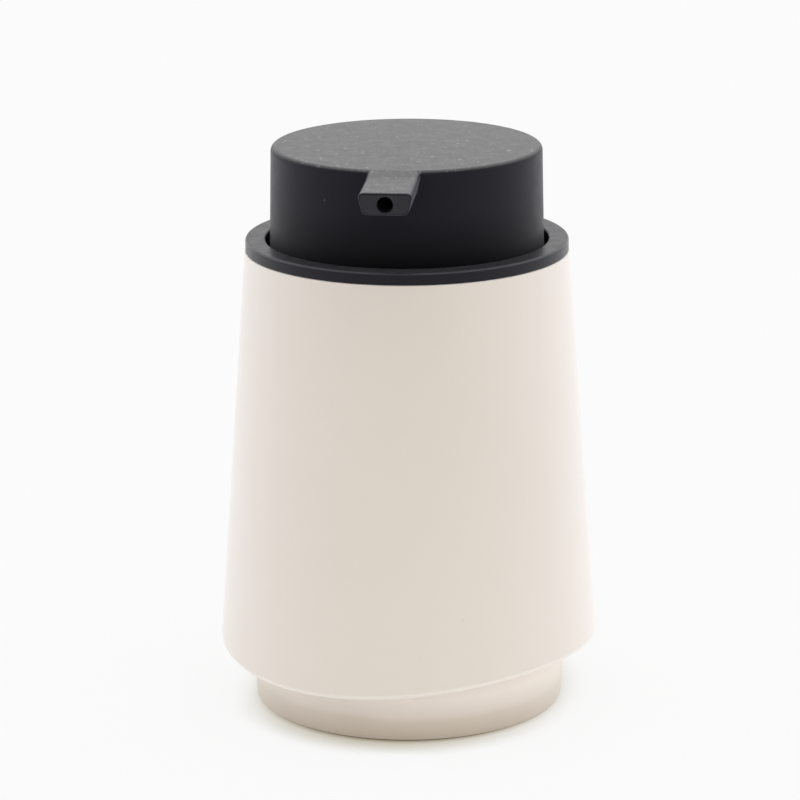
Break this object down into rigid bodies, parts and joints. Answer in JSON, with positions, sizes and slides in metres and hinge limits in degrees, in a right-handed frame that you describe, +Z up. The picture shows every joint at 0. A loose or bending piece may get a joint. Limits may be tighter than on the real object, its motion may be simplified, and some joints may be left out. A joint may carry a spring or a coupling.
{
  "type": "soap dispenser",
  "caption": "Countertop liquid soap dispenser: tapered vessel with an overhanging skirt, wide push button with a flat spout, and a working piston pump inside.",
  "frame": {"origin": "on the vessel's axis, at the surface it stands on", "axes": "+Z up along the vessel's axis, -Y along the spout towards the user"},
  "size_m": [0.0858, 0.0923, 0.128],
  "materials": {
    "stoneware": "matt, fine speckle",
    "pad_rubber": "matt",
    "collar_black": "soft matt",
    "button_black": "soft matt",
    "silicone": "translucent",
    "gasket_foam": "matt",
    "milky_plastic": "moulded",
    "spring_steel": "drawn wire",
    "ball_steel": "polished",
    "tube_plastic": "extruded",
    "nitrile": "matt",
    "hub_plastic": "moulded"
  },
  "bodies": {
    "vessel": {"body_shell": "stoneware", "base_pad": "pad_rubber"},
    "pump": {"collar_ring": "collar_black", "collar_seal": "silicone", "housing_gasket": "gasket_foam", "pump_housing": "milky_plastic", "lock_ring": "milky_plastic", "stem_guide": "milky_plastic", "return_spring": "spring_steel", "valve_cage": "milky_plastic", "dip_tube": "tube_plastic"},
    "plunger": {"stem": "milky_plastic", "piston": "milky_plastic", "piston_retainer": "milky_plastic", "outlet_cage": "milky_plastic"},
    "head": {"button_shell": "button_black", "actuator_hub": "hub_plastic", "spout_liner": "hub_plastic", "stem_seal": "nitrile"},
    "inlet_valve": {"inlet_ball": "ball_steel"},
    "outlet_valve": {"outlet_ball": "ball_steel"}
  },
  "joints": [
    {"name": "pump_lift", "type": "slide", "parent": "vessel", "child": "pump", "axis": [0, 0, 1], "range_m": [0, 0.1]},
    {"name": "head_press", "type": "slide", "parent": "pump", "child": "plunger", "axis": [0, 0, -1], "range_m": [0, 0.014], "stiffness_N_per_m": 400, "springref_m": -0.012, "deforming": ["return_spring"]},
    {"name": "head_swivel", "type": "hinge", "parent": "plunger", "child": "head", "pos_m": [0, 0, 0.107], "axis": [0, 0, 1], "continuous": true},
    {"name": "inlet_ball_lift", "type": "slide", "parent": "pump", "child": "inlet_valve", "axis": [0, 0, 1], "range_m": [0, 0.0015]},
    {"name": "outlet_ball_lift", "type": "slide", "parent": "plunger", "child": "outlet_valve", "axis": [0, 0, 1], "range_m": [0, 0.0012]}
  ]
}
